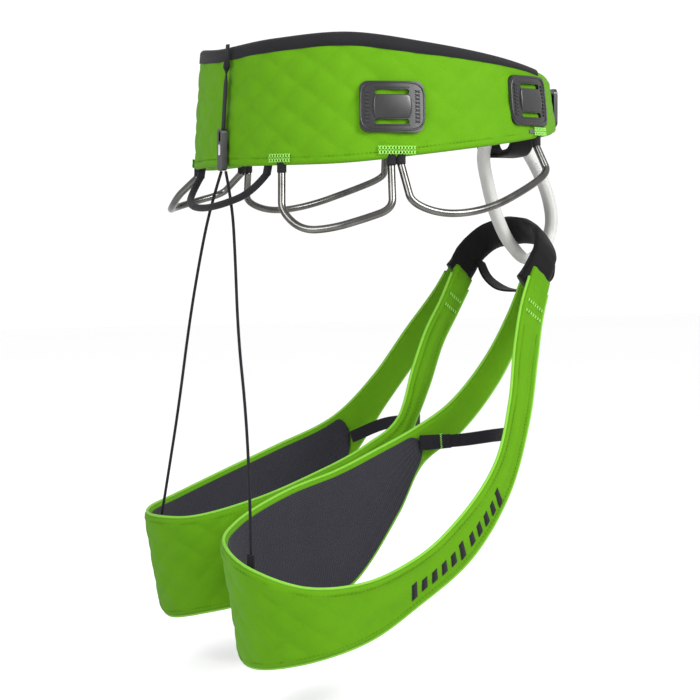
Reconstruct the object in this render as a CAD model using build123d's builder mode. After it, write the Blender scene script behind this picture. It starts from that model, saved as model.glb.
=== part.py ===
"""Climbing harness: padded waist belt, belay loop, tie-in yoke and two leg loops.

Millimetres. The wearer faces -Y, +Z is up and -X is the wearer's right hand side.
The origin is the centre of the waist opening, at mid height of the belt.
"""

import math
import os

from build123d import *

os.makedirs("parts", exist_ok=True)

# Waist belt: a superellipse in plan, open at the front.
WAIST_X = 134.0  # half width at mid height
WAIST_Y = 137.0  # half depth at mid height
WAIST_POWER = 2.2  # 2 would be an ellipse, more is squarer
FLARE = 3.0  # the bottom edge stands out this much, the top edge in
# Angle from the back centre, height of the top edge, height of the bottom edge.
BELT_EDGES = (
    (0, 37, -54),
    (27, 41, -54.5),
    (54, 44, -53),
    (80, 37, -46),
    (105, 28, -37),
    (128, 21, -30),
    (150, 18, -25),
)
BELT_END = 150
CORE = 4.0  # foam and load band thickness in the belt
SKIN = 1.0  # outer fabric and liner thickness
GAP = 0.3  # between the layers
BINDING_HEIGHT = 4.0
BINDING_DEPTH = 8.6

# Leg loops.
LEG_CORE = 3.0
LAP = 4.5  # distance of each leg end from the yoke arm it laps
YOKE_X = 60.0  # where the yoke's arms stand
HINGE_Y = -118.0  # the lap joint that the leg loops swing about
HINGE_Z = -139.0
LAP_UP = (8.0, 8.0)  # half the strap's width at the lap, along Y and Z

# Webbing, loops and cords.
WEBBING = 24.0
WEBBING_THICK = 2.0
WEBBING_Z = -3.5
BELAY_WIDTH = 13.0
BELAY_THICK = 8.5
GEAR_TUBE = 6.0
HAUL_CORD = 5.5
RISER_CORD = 2.3
PLATE = (48.0, 38.0)
PLATE_THICK = 2.2

SIDES = {"right": -1, "left": 1}


def save(part, name):
    """Label a finished piece and write it as its own STEP file."""
    part.label = name
    export_step(part, f"parts/{name}.step")


def power(value, exponent):
    """Signed power, for the superellipse."""
    return math.copysign(abs(value) ** exponent, value)


def belt_plan(angle, out=0.0):
    """X and Y of the belt's plan at an angle from the back centre, right side positive."""
    turn = math.radians(angle)
    x = -(WAIST_X + out) * power(math.sin(turn), 2 / WAIST_POWER)
    y = (WAIST_Y + out) * power(math.cos(turn), 2 / WAIST_POWER)
    return x, y


def belt_edge(angle, which):
    """Height of the belt's top (1) or bottom (2) edge, straight between the given angles."""
    here = min(abs(angle), BELT_END)
    for low, high in zip(BELT_EDGES, BELT_EDGES[1:]):
        if here <= high[0]:
            share = (here - low[0]) / (high[0] - low[0])
            return low[which] + share * (high[which] - low[which])
    return BELT_EDGES[-1][which]


def belt_point(angle, z, out=0.0):
    """A point of the belt's middle surface, which leans out towards the bottom edge."""
    top = belt_edge(angle, 1)
    bottom = belt_edge(angle, 2)
    lean = FLARE * (top + bottom - 2 * z) / (top - bottom)
    x, y = belt_plan(angle, lean + out)
    return Vector(x, y, z)


def band(rails, thick, offset):
    """Loft a flat band whose edges run through pairs of points, in the open builder."""
    middles = [(top + bottom) * 0.5 for top, bottom in rails]
    sections = []
    for index, (top, bottom) in enumerate(rails):
        before = middles[max(index - 1, 0)]
        after = middles[min(index + 1, len(rails) - 1)]
        across = (top - bottom).normalized()
        along = after - before
        along = (along - across * along.dot(across)).normalized()
        normal = along.cross(across)
        plane = Plane(origin=middles[index] + normal * offset, x_dir=across, z_dir=along)
        with BuildSketch(plane) as section:
            Rectangle((top - bottom).length, thick)
        sections.append(section.sketch)
    loft(sections)


def belt_rails(angles, drop=0.0, top=None, bottom=None):
    """Edge pairs of the belt at the given angles, or between two given heights."""
    rails = []
    for angle in angles:
        high = belt_edge(angle, 1) - drop if top is None else top
        low = belt_edge(angle, 2) if bottom is None else bottom
        rails.append((belt_point(angle, high), belt_point(angle, low)))
    return rails


def tube(points, radii, diameter):
    """Sweep a round cord along straight runs joined by arcs, in the open builder."""
    with BuildLine() as route:
        FilletPolyline(*points, radius=radii)
    path = route.wire()
    with BuildSketch(Plane(origin=path @ 0, z_dir=path % 0)) as section:
        Circle(diameter / 2)
    sweep(section.sketch, path=path)
    return path.length


def arc_radii(points):
    """The largest comfortable radius at each corner of a route."""
    radii = []
    for before, here, after in zip(points, points[1:], points[2:]):
        first = Vector(*here) - Vector(*before)
        second = Vector(*after) - Vector(*here)
        half_turn = math.radians(first.get_angle(second)) / 2
        radii.append(0.45 * min(first.length, second.length) / math.tan(half_turn))
    return radii


# Waist belt: shell, core and liner lie on each other, and the binding caps their top edges.
# Its sections run from the wearer's left round the back to the right.
HALF = [edge[0] for edge in BELT_EDGES]
ANGLES = [-angle for angle in reversed(HALF[1:])] + HALF
SKIN_OUT = CORE / 2 + GAP + SKIN / 2
BELT_OUT = CORE / 2 + GAP + SKIN

# Each layer is the right half and its mirror image; the half is lofted from beyond the back
# centre, so that the two meet without a kink. A positive offset is out of the body.
LOFTED = [angle for angle in ANGLES if angle >= -80]
LAYERS = {"core": (CORE, 0), "shell": (SKIN, SKIN_OUT), "liner": (SKIN, -SKIN_OUT)}
for layer, (thick, out) in LAYERS.items():
    with BuildPart() as belt_layer:
        band(belt_rails(LOFTED, drop=BINDING_HEIGHT + 2 * GAP), thick, out)
        split(bisect_by=Plane(origin=(0, 0, 0), z_dir=(-1, 0, 0)), keep=Keep.TOP)
        mirror(about=Plane.YZ)
    save(belt_layer.part, f"waistbelt_{layer}")
    print("belt", layer, round(belt_layer.part.volume), len(belt_layer.part.solids()))

BINDING_FRONT = -85.0
with BuildPart() as binding:
    capped = [(rail[0], rail[0] - Vector(0, 0, BINDING_HEIGHT)) for rail in belt_rails(LOFTED)]
    band(capped, BINDING_DEPTH, 0)
    split(bisect_by=Plane(origin=(0, 0, 0), z_dir=(-1, 0, 0)), keep=Keep.TOP)
    split(bisect_by=Plane(origin=(0, BINDING_FRONT, 0), z_dir=(0, 1, 0)), keep=Keep.TOP)
    mirror(about=Plane.YZ)
print("binding", round(binding.part.volume), len(binding.part.solids()))
save(binding.part, "belt_top_binding")


def front_rails(angles, width=WEBBING):
    """Edge pairs of a level strap across the front of the belt."""
    low = WEBBING_Z - width / 2
    high = WEBBING_Z + width / 2
    plan = [belt_plan(angle) for angle in angles]
    return [(Vector(x, y, high), Vector(x, y, low)) for x, y in plan]


# Front webbing: both halves end in the buckle, and the tail is folded back over the left half.
BUCKLE_ANGLE = 163.0
TAIL_OUT = WEBBING_THICK + 0.6
with BuildPart() as webbing_left:
    band(front_rails((166, 173, 180, 187, 194, 201, 208.5)), WEBBING_THICK, 0)
save(webbing_left.part, "front_webbing_left")

with BuildPart() as webbing_right:
    band(front_rails((151.5, 156, 160, 164)), WEBBING_THICK, 0)
save(webbing_right.part, "front_webbing_right")

with BuildPart() as tail:
    band(front_rails((161, 168, 175, 182, 189, 196, 201)), WEBBING_THICK, TAIL_OUT)
save(tail.part, "webbing_tail")


def belt_face(angle, z, out):
    """A plane on the belt: local X along the belt, local Y up, local Z out of the body."""
    here = belt_point(angle, z) if abs(angle) <= BELT_END else None
    if here is None:
        x, y = belt_plan(angle)
        here = Vector(x, y, z)
    ahead = Vector(*belt_plan(angle + 1), 0) - Vector(*belt_plan(angle - 1), 0)
    along = ahead.normalized()
    outward = along.cross(Vector(0, 0, -1)).normalized()
    if outward.dot(Vector(here.X, here.Y, 0)) < 0:
        outward = outward * -1
    return Plane(origin=here + outward * out, x_dir=outward.cross(Vector(0, 0, -1)), z_dir=outward)


# Buckle: a frame with two slots, and a slider plate that tilts on it.
BUCKLE_OUT = 5.0
BUCKLE = (34.0, 31.0)
with BuildPart() as buckle_frame:
    with BuildSketch(belt_face(BUCKLE_ANGLE, WEBBING_Z, BUCKLE_OUT)):
        RectangleRounded(*BUCKLE, 4)
        with Locations((-9, 0), (9, 0)):
            RectangleRounded(5, WEBBING, 1.5, mode=Mode.SUBTRACT)
    extrude(amount=2.6)
save(buckle_frame.part, "buckle_frame")

SLIDER_OUT = BUCKLE_OUT + 3.2
with BuildPart() as slider:
    with BuildSketch(belt_face(BUCKLE_ANGLE, WEBBING_Z, SLIDER_OUT)):
        RectangleRounded(19, WEBBING + 4, 3)
        RectangleRounded(5, WEBBING - 4, 1.5, mode=Mode.SUBTRACT)
    extrude(amount=2.4)
save(slider.part, "buckle_slider")

KEEPER_ANGLE = 193.0
KEEPER_FACE = belt_face(KEEPER_ANGLE, WEBBING_Z, TAIL_OUT / 2)
with BuildPart() as keeper:
    with BuildSketch(Plane(KEEPER_FACE.origin, x_dir=KEEPER_FACE.z_dir, z_dir=KEEPER_FACE.x_dir)):
        Rectangle(8.4, WEBBING + 6)
        Rectangle(6.2, WEBBING + 2, mode=Mode.SUBTRACT)
    extrude(amount=3.5, both=True)
save(keeper.part, "webbing_keeper")

# Upper tie-in loop: a U of webbing behind the front webbing, with a wear guard under it.
TIE_Y = -124.0
TIE_DEPTH = 20.0
TIE_HALF = 24.0
TIE_TOP = 8.0
TIE_BOTTOM = -37.0
TIE_CORNER = 10.0


def u_strap(half, top, bottom, corner, thick, depth, y):
    """A U of webbing in an XZ plane, its width along Y, in the open builder."""
    points = [(-half, top), (-half, bottom), (half, bottom), (half, top)]
    with BuildSketch(Plane.XZ.offset(-y)) as section:
        with BuildLine():
            FilletPolyline(*points, radius=corner)
            offset(amount=thick / 2, side=Side.BOTH)
        make_face()
    extrude(section.sketch, amount=depth / 2, both=True)


with BuildPart() as tie_in:
    u_strap(TIE_HALF, TIE_TOP, TIE_BOTTOM, TIE_CORNER, 3.0, TIE_DEPTH, TIE_Y)
save(tie_in.part, "upper_tie_in_loop")

GUARD_THICK = 2.4
GUARD_STEP = 1.5 + 0.3 + GUARD_THICK / 2
with BuildPart() as guard:
    u_strap(
        TIE_HALF + GUARD_STEP, -24.0, TIE_BOTTOM - GUARD_STEP, TIE_CORNER + GUARD_STEP,
        GUARD_THICK, TIE_DEPTH + 2, TIE_Y,
    )
save(guard.part, "tie_in_guard")

# Belay loop: a closed ring of webbing in the middle plane, round the tie-in and the yoke.
BELAY_RING = [
    (-104, -35), (-108, -66), (-117, -92), (-131, -115), (-147, -127),
    (-162, -118), (-171, -98), (-168, -76), (-158, -54), (-142, -31),
    (-132, -20), (-112, -20),
]
RING_RADII = arc_radii([BELAY_RING[-1], *BELAY_RING, BELAY_RING[0]])
with BuildPart() as belay:
    with BuildSketch(Plane.YZ):
        with BuildLine():
            FilletPolyline(*BELAY_RING, radius=RING_RADII, close=True)
        make_face()
        offset(amount=BELAY_THICK / 2)
        with BuildLine():
            FilletPolyline(*BELAY_RING, radius=RING_RADII, close=True)
        face = make_face(mode=Mode.PRIVATE)
        add(offset(face, amount=-BELAY_THICK / 2, mode=Mode.PRIVATE), mode=Mode.SUBTRACT)
    extrude(amount=BELAY_WIDTH / 2, both=True)
    fillet(belay.faces().filter_by(Axis.X).edges(), BELAY_THICK * 0.35)
save(belay.part, "belay_loop")

# Yoke: the arched sleeve that joins the leg loops and hangs in the belay loop.
LAP_TOP = Vector(0, HINGE_Y + LAP_UP[0], HINGE_Z + LAP_UP[1])
LAP_LOW = Vector(0, HINGE_Y - LAP_UP[0], HINGE_Z - LAP_UP[1])
YOKE_ARCH = (
    (YOKE_X, (-98, -143), (-113, -160)),
    (YOKE_X, (-108, -130), (-125, -146)),
    (57, (-117, -114), (-135, -130)),
    (44, (-125, -101), (-142, -118)),
    (22, (-130, -94), (-144, -114)),
)
with BuildPart() as yoke:
    right = [(Vector(-x, *high), Vector(-x, *low)) for x, high, low in YOKE_ARCH]
    left = [(Vector(x, *high), Vector(x, *low)) for x, high, low in reversed(YOKE_ARCH)]
    middle = [(Vector(0, -131, -92), Vector(0, -144, -112.5))]
    band(right + middle + left, 4.0, 0)
save(yoke.part, "yoke_sleeve")

BRIDGE = (
    (54, (-129, -125), (-139, -131)),
    (49, (-130, -137), (-141, -140)),
    (30, (-129, -149), (-142, -149)),
)
with BuildPart() as bridge:
    right = [(Vector(-x, *high), Vector(-x, *low)) for x, high, low in BRIDGE]
    left = [(Vector(x, *high), Vector(x, *low)) for x, high, low in reversed(BRIDGE)]
    middle = [(Vector(0, -128, -153), Vector(0, -142, -153))]
    band(right + middle + left, 1.6, 0)
save(bridge.part, "yoke_bridge")

# Leg loops: edge pairs (inner rim, lower rim) from the medial strap round the back to the
# lateral strap. X is the distance from the middle plane. The worn side hangs lower outside.
LEG_RIMS = {
    "right": (
        ((46, -100, -168), (45, -113, -186)),
        ((30, -86, -208), (30, -98, -228)),
        ((17, -58, -246), (17, -70, -268)),
        ((12, -28, -265), (12, -38, -292)),
        ((14, 8, -280), (12, -15, -332)),
        ((17, 45, -294), (15, 28, -385)),
        ((25, 92, -306), (22, 80, -404)),
        ((50, 148, -324), (45, 132, -414)),
        ((88, 176, -335), (88, 160, -424)),
        ((130, 176, -347), (126, 158, -422)),
        ((156, 148, -359), (152, 134, -414)),
        ((163, 100, -359), (160, 92, -401)),
        ((162, 55, -344), (160, 52, -379)),
        ((155, 15, -319), (156, 6, -350)),
        ((141, -26, -281), (144, -36, -305)),
        ((118, -54, -236), (123, -68, -252)),
        ((92, -76, -190), (97, -93, -203)),
        ((75, -93, -160), (78, -110, -174)),
    ),
    "left": (
        ((42, -88, -160), (43, -104, -172)),
        ((27, -64, -186), (28, -80, -198)),
        ((17, -46, -216), (18, -62, -230)),
        ((12, -30, -255), (12, -44, -262)),
        ((13, 0, -278), (12, -15, -318)),
        ((14, 50, -300), (13, 35, -372)),
        ((20, 100, -318), (18, 90, -396)),
        ((40, 145, -331), (40, 132, -408)),
        ((80, 162, -333), (80, 146, -416)),
        ((118, 148, -332), (116, 136, -410)),
        ((146, 112, -326), (144, 104, -392)),
        ((160, 60, -310), (158, 54, -368)),
        ((163, 10, -292), (162, 2, -345)),
        ((157, -45, -268), (158, -56, -312)),
        ((135, -74, -231), (139, -90, -254)),
        ((107, -92, -188), (110, -109, -208)),
        ((82, -106, -153), (86, -121, -174)),
    ),
}
LINED = {"right": (-36, -200), "left": (-60, -248)}  # the liner is behind this Y, under this Z
RISER_BACK = {"right": (-84, 150, -349), "left": (80, 140, -347)}


def leg_rails(side):
    """Every edge pair of a leg loop, its two lapped ends included."""
    sign = SIDES[side]
    rails = [(Vector(sign * t[0], *t[1:]), Vector(sign * b[0], *b[1:])) for t, b in LEG_RIMS[side]]
    inner = Vector(sign * (YOKE_X - LAP), 0, 0)
    outer = Vector(sign * (YOKE_X + LAP), 0, 0)
    return [(LAP_TOP + inner, LAP_LOW + inner), *rails, (LAP_TOP + outer, LAP_LOW + outer)]


LEG_SKIN_OUT = LEG_CORE / 2 + GAP + SKIN / 2
ELASTIC_WIDTH = 10.0
ELASTIC_PATHS = {
    "right": ((17, -33, -275), (38, -58, -272), (70, -72, -266), (100, -62, -263), (125, -44, -266)),
    "left": ((17, -38, -258), (42, -66, -262), (80, -82, -266), (118, -74, -272), (146, -58, -285)),
}
for side, sign in SIDES.items():
    rails = leg_rails(side)
    front, ceiling = LINED[side]
    with BuildPart() as leg_core:
        band(rails, LEG_CORE, 0)
    save(leg_core.part, f"leg_core_{side}")
    with BuildPart() as leg_shell:
        band(rails, SKIN, -sign * LEG_SKIN_OUT)
    save(leg_shell.part, f"leg_shell_{side}")
    with BuildPart() as leg_liner:
        band(rails, SKIN, sign * LEG_SKIN_OUT)
        split(bisect_by=Plane(origin=(0, front, 0), z_dir=(0, 1, 0)), keep=Keep.TOP)
        split(bisect_by=Plane(origin=(0, 0, ceiling), z_dir=(0, 0, -1)), keep=Keep.TOP)
    save(leg_liner.part, f"leg_liner_{side}")
    path = [Vector(sign * x, y, z) for x, y, z in ELASTIC_PATHS[side]]
    half = Vector(0, 0, ELASTIC_WIDTH / 2)
    with BuildPart() as elastic:
        band([(point + half, point - half) for point in path], 1.2, 0)
    save(elastic.part, f"leg_elastic_{side}")
    ends = [path[0] + (path[1] - path[0]) * share for share in (0.1, 0.3, 0.5)]
    with BuildPart() as tab:
        band([(point + half * 1.3, point - half * 1.3) for point in ends], 1.0, sign * 1.4)
    save(tab.part, f"elastic_tab_{side}")

# Gear loops: stiff tubes under the belt, between two angles on each side.
GEAR_DROP = 4.5
GEAR_LOOPS = {
    # name: start and end angles, then for each side the depths under the chord at the back,
    # middle and front, and the bulge. The left rear loop is swung out at rest.
    "rear": (31, 68, {"right": ((30, 45, 33), 11), "left": ((16, 28, 18), 28)}),
    "front": (71, 121, {"right": ((30, 42, 22), 15), "left": ((26, 37, 20), 15)}),
}


def gear_route(start, end, depths, bulge, sign):
    """Seven points of a gear loop: down, along and up again, standing out from the belt."""
    first = belt_point(start, belt_edge(start, 2)) - Vector(0, 0, GEAR_DROP)
    final = belt_point(end, belt_edge(end, 2)) - Vector(0, 0, GEAR_DROP)
    chord = final - first
    outward = Vector(-chord.Y, chord.X, 0).normalized()
    if outward.dot(Vector(first.X, first.Y, 0)) < 0:
        outward = outward * -1
    back, deep, front = depths
    shape = (
        (0.0, 0, 0.0), (0.02, back, 0.7), (0.22, deep, 1.25), (0.5, deep, 1.6),
        (0.8, (deep + front) / 2, 1.25), (1.03, front, 0.7), (1.0, 0, 0.0),
    )
    points = [first + chord * along + outward * bulge * out - Vector(0, 0, down)
              for along, down, out in shape]
    return [(-sign * point.X, point.Y, point.Z) for point in points]


for place, (start, end, hangs) in GEAR_LOOPS.items():
    for side, sign in SIDES.items():
        points = gear_route(start, end, *hangs[side], sign)
        radii = [min(radius, limit) for radius, limit in zip(arc_radii(points), (12, 25, 60, 40, 12))]
        with BuildPart() as gear:
            length = tube(points, radii, GEAR_TUBE)
        save(gear.part, f"gear_loop_{place}_{side}")
        print(place, side, "length", round(length, 1), "radii", [round(r, 1) for r in radii])
        print("  ends", [round(v, 1) for v in points[0]], [round(v, 1) for v in points[-1]])

# Haul loop: a cord across the back, under the belt and outside the riser cords.
HAUL = [(-60, 126, -59), (-56, 137, -74), (-30, 150, -83), (0, 153.5, -86), (30, 150, -83),
        (56, 137, -74), (60, 126, -59)]
with BuildPart() as haul:
    radii = arc_radii(HAUL)
    length = tube(HAUL, radii, HAUL_CORD)
save(haul.part, "haul_loop")
print("haul loop length", round(length, 1), "radii", [round(r, 1) for r in radii])

# Clipper plates: moulded slots, two on each side, bent to the belt.
PLATES = {"side": (68, -11), "front": (116, -3)}
SLOT = (26.0, 4.0)
SLOT_Y = 11.0
for place, (angle, z) in PLATES.items():
    for side, sign in SIDES.items():
        here = -sign * angle
        spread = [here + step for step in (-15, -7, 0, 7, 15)]
        with BuildPart() as plate:
            rails = belt_rails(spread, top=z + 24, bottom=z - 24)
            band(rails, PLATE_THICK, BELT_OUT + GAP + PLATE_THICK / 2)
            with BuildSketch(belt_face(here, z, 0)):
                RectangleRounded(*PLATE, 6)
                with Locations((0, SLOT_Y), (0, -SLOT_Y)):
                    SlotOverall(*SLOT, mode=Mode.SUBTRACT)
            extrude(amount=20, mode=Mode.INTERSECT)
        save(plate.part, f"clipper_plate_{place}_{side}")

# Bar tacks: raised stitching over the gear-loop ends, all in one node.
TACK = (18.0, 6.0, 0.7)
with BuildPart() as tacks:
    for start, end, _ in GEAR_LOOPS.values():
        for angle in (start, end, -start, -end):
            plane = belt_face(angle, belt_edge(angle, 2) + 5.5, BELT_OUT + 1.5)
            with BuildSketch(plane):
                Rectangle(TACK[0], TACK[1])
            extrude(amount=TACK[2])
save(tacks.part, "bar_tacks")

# Rear riser: strap over the belt, a clip, and two elastic cords to the leg loops.
RISER_X = -21.0
STRAP_Y = WAIST_Y + FLARE + BELT_OUT + 1.0
with BuildPart() as strap:
    with BuildSketch(Plane.XY.offset(-24)):
        with Locations((RISER_X, STRAP_Y)):
            Rectangle(5.5, 1.2)
    extrude(amount=60)
save(strap.part, "riser_strap")

with BuildPart() as clip:
    with BuildSketch(Plane.XZ.offset(-(STRAP_Y - 0.9))):
        with Locations((RISER_X, -41)):
            RectangleRounded(9, 32, 3)
        with Locations((RISER_X, -31)):
            SlotOverall(8, 3, rotation=90, mode=Mode.SUBTRACT)
    extrude(amount=-4.4)
save(clip.part, "riser_clip")

CORDS = {
    "right": [(-25, 144.5, -57.5), (-33, 143, -83), (-43, 145.5, -117), (-66, 154, -182),
              (-91, 160, -234), (-106, 164, -290), (-114, 167, -340)],
    "left": [(-17, 144.5, -57.5), (1, 145, -83), (17, 146, -118), (36, 147.5, -172),
             (56, 148.5, -243), (74, 149.5, -296), (88, 150, -335)],
}
for side, sign in SIDES.items():
    radii = arc_radii(CORDS[side])
    with BuildPart() as cord:
        length = tube(CORDS[side], radii, RISER_CORD)
    save(cord.part, f"riser_cord_{side}")
    share = cord.part.volume / (math.pi * RISER_CORD**2 / 4 * length)
    print("riser cord", side, round(length, 1), [round(r) for r in radii], round(share, 4))
    x, y, z = CORDS[side][-1]
    with BuildPart() as anchor:
        with BuildSketch(Plane.XY.offset(z - 12.5)):
            with Locations((x, y)):
                RectangleRounded(10, 4, 1.5)
        extrude(amount=12)
    save(anchor.part, f"riser_anchor_{side}")
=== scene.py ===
"""Looks of the climbing harness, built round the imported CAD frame. Metres, +Z up, the wearer faces -Y."""

import math

import bmesh
import bpy
import numpy as np
from mathutils import Matrix, Vector, noise


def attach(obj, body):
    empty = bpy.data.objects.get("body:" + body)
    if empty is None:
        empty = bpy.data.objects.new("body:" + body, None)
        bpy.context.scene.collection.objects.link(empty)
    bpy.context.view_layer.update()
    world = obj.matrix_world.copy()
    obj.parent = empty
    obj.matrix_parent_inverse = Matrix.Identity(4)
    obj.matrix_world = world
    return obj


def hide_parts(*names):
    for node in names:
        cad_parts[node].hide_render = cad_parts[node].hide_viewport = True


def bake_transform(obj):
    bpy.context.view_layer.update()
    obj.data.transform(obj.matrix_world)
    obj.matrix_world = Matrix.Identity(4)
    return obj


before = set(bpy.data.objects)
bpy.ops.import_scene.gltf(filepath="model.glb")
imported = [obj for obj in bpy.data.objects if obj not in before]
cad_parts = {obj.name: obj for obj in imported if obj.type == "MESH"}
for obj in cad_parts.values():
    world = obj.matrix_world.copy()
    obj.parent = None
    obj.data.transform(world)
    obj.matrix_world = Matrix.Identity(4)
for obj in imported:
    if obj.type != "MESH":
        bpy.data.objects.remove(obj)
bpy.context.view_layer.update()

MM = 0.001
SIDES = {"right": -1, "left": 1}

# ---------------------------------------------------------------- camera, lights, floor
CAMERA_BEHIND = math.radians(28.5)  # how far the camera stands behind the wearer's right side
CAMERA_DISTANCE = 1.75
CAMERA_ASIDE = -0.02
CAMERA_HEIGHT = -0.103
CAMERA_DOWN = math.radians(3.15)
CAMERA_LENS = 111.2
FLOOR_Z = -0.46


def make_camera():
    """A long lens from the right and a little behind, almost level."""
    toward = Vector((-math.cos(CAMERA_BEHIND), math.sin(CAMERA_BEHIND), 0))
    right = Vector((-math.sin(CAMERA_BEHIND), -math.cos(CAMERA_BEHIND), 0))
    look = -toward * math.cos(CAMERA_DOWN) - Vector((0, 0, 1)) * math.sin(CAMERA_DOWN)
    up = right.cross(look)
    data = bpy.data.cameras.new("camera")
    data.lens = CAMERA_LENS
    data.sensor_width = 36.0
    data.clip_end = 50
    camera = bpy.data.objects.new("camera", data)
    bpy.context.scene.collection.objects.link(camera)
    turn = Matrix((right, up, -look)).transposed().to_4x4()
    place = toward * CAMERA_DISTANCE + right * CAMERA_ASIDE + Vector((0, 0, CAMERA_HEIGHT))
    camera.matrix_world = Matrix.Translation(place) @ turn
    bpy.context.scene.camera = camera
    return camera


def area_light(name, place, aim, size, watts):
    """A soft square light at a place, turned to its aim."""
    data = bpy.data.lights.new(name, "AREA")
    data.size = size
    data.energy = watts
    lamp = bpy.data.objects.new(name, data)
    lamp.location = place
    lamp.rotation_euler = (Vector(aim) - Vector(place)).to_track_quat("-Z", "Y").to_euler()
    bpy.context.scene.collection.objects.link(lamp)


def make_studio():
    """Pale floor, white surroundings and two soft lights."""
    world = bpy.data.worlds.new("studio")
    world.use_nodes = True
    world.node_tree.nodes["Background"].inputs[0].default_value = (1, 1, 1, 1)
    world.node_tree.nodes["Background"].inputs[1].default_value = 1.05
    bpy.context.scene.world = world
    bpy.context.scene.view_settings.view_transform = "Standard"
    area_light("key", (-0.98, -0.28, 0.42), (0, 0.02, 0), 0.5, 19)
    area_light("back", (-0.55, 1.1, 0.35), (0, 0, -0.05), 0.6, 12)
    data = bpy.data.meshes.new("floor")
    size = 6.0
    data.from_pydata(
        [(-size, -size, FLOOR_Z), (size, -size, FLOOR_Z), (size, size, FLOOR_Z), (-size, size, FLOOR_Z)],
        [], [(0, 1, 2, 3)],
    )
    floor = bpy.data.objects.new("floor", data)
    bpy.context.scene.collection.objects.link(floor)
    floor.data.materials.append(plain("floor_paper", (0.93, 0.93, 0.93), 0.9))


# ---------------------------------------------------------------- materials
def new_material(name):
    """A node material with its shader, ready to be wired."""
    made = bpy.data.materials.new(name)
    made.use_nodes = True
    tree = made.node_tree
    return made, tree, tree.nodes["Principled BSDF"]


def plain(name, colour, rough, metallic=0.0):
    """A smooth surface with one colour, for the studio only."""
    made, _, shader = new_material(name)
    shader.inputs["Base Color"].default_value = (*colour, 1)
    shader.inputs["Roughness"].default_value = rough
    shader.inputs["Metallic"].default_value = metallic
    return made


def add(tree, kind, **settings):
    """A node with its sockets or properties set by name."""
    node = tree.nodes.new(kind)
    for key, value in settings.items():
        if hasattr(node, key):
            setattr(node, key, value)
        else:
            node.inputs[key.replace("_", " ")].default_value = value
    return node


def ramp(tree, source, low, high, from_min=0.0, from_max=1.0):
    """Mix two colours by a value."""
    spread = add(tree, "ShaderNodeMapRange")
    spread.inputs["From Min"].default_value = from_min
    spread.inputs["From Max"].default_value = from_max
    tree.links.new(source, spread.inputs["Value"])
    mix = add(tree, "ShaderNodeMix", data_type="RGBA")
    # A mix node has an A and a B of each kind, so the colour ones are picked by type.
    for socket in mix.inputs:
        if socket.type == "RGBA":
            socket.default_value = (*low, 1) if socket.name == "A" else (*high, 1)
    tree.links.new(spread.outputs["Result"], mix.inputs["Factor"])
    return [out for out in mix.outputs if out.type == "RGBA"][0]


SHEEN_SHARE = 0.15  # the sheen asked for by each cloth is toned down by this much
CLOTH_GLOSS = 0.08


def cloth(name, dark, light, pitch=0.0011, rough=0.78, sheen=0.25, weave=0.35, mottle=0.35, skew=0.0):
    """Woven cloth: two crossed thread waves from the UVs, blotches, and fine fuzz in the bump."""
    made, tree, shader = new_material(name)
    uv = add(tree, "ShaderNodeUVMap")
    turn = add(tree, "ShaderNodeMapping")
    turn.inputs["Rotation"].default_value = (0, 0, skew)
    tree.links.new(uv.outputs[0], turn.inputs["Vector"])
    split = add(tree, "ShaderNodeSeparateXYZ")
    tree.links.new(turn.outputs[0], split.inputs[0])
    threads = []
    for axis in ("X", "Y"):
        scaled = add(tree, "ShaderNodeMath", operation="MULTIPLY")
        scaled.inputs[1].default_value = 2 * math.pi / pitch
        tree.links.new(split.outputs[axis], scaled.inputs[0])
        wave = add(tree, "ShaderNodeMath", operation="SINE")
        tree.links.new(scaled.outputs[0], wave.inputs[0])
        threads.append(wave)
    crossed = add(tree, "ShaderNodeMath", operation="MULTIPLY")
    tree.links.new(threads[0].outputs[0], crossed.inputs[0])
    tree.links.new(threads[1].outputs[0], crossed.inputs[1])
    where = add(tree, "ShaderNodeTexCoord")
    blotch = add(tree, "ShaderNodeTexNoise", Scale=38.0, Detail=3.0, Roughness=0.6)
    tree.links.new(where.outputs["Object"], blotch.inputs["Vector"])
    fuzz = add(tree, "ShaderNodeTexNoise", Scale=900.0, Detail=2.0)
    tree.links.new(where.outputs["Object"], fuzz.inputs["Vector"])
    tone = add(tree, "ShaderNodeMath", operation="MULTIPLY_ADD")
    tree.links.new(blotch.outputs["Fac"], tone.inputs[0])
    tone.inputs[1].default_value = mottle
    half = add(tree, "ShaderNodeMath", operation="MULTIPLY_ADD")
    tree.links.new(crossed.outputs[0], half.inputs[0])
    half.inputs[1].default_value = 0.18
    half.inputs[2].default_value = 0.5 - mottle / 2
    tree.links.new(half.outputs[0], tone.inputs[2])
    speck = add(tree, "ShaderNodeMath", operation="MULTIPLY_ADD")
    tree.links.new(fuzz.outputs["Fac"], speck.inputs[0])
    speck.inputs[1].default_value = 0.35
    tree.links.new(tone.outputs[0], speck.inputs[2])
    colour = ramp(tree, speck.outputs[0], dark, light, 0.2, 1.15)
    tree.links.new(colour, shader.inputs["Base Color"])
    height = add(tree, "ShaderNodeMath", operation="MULTIPLY_ADD")
    tree.links.new(fuzz.outputs["Fac"], height.inputs[0])
    height.inputs[1].default_value = 0.6
    tree.links.new(crossed.outputs[0], height.inputs[2])
    bump = add(tree, "ShaderNodeBump", Strength=weave, Distance=0.00025)
    tree.links.new(height.outputs[0], bump.inputs["Height"])
    tree.links.new(bump.outputs[0], shader.inputs["Normal"])
    shader.inputs["Roughness"].default_value = rough
    shader.inputs["Sheen Weight"].default_value = sheen * SHEEN_SHARE
    shader.inputs["Sheen Roughness"].default_value = 0.45
    shader.inputs["Specular IOR Level"].default_value = CLOTH_GLOSS
    return made


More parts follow.
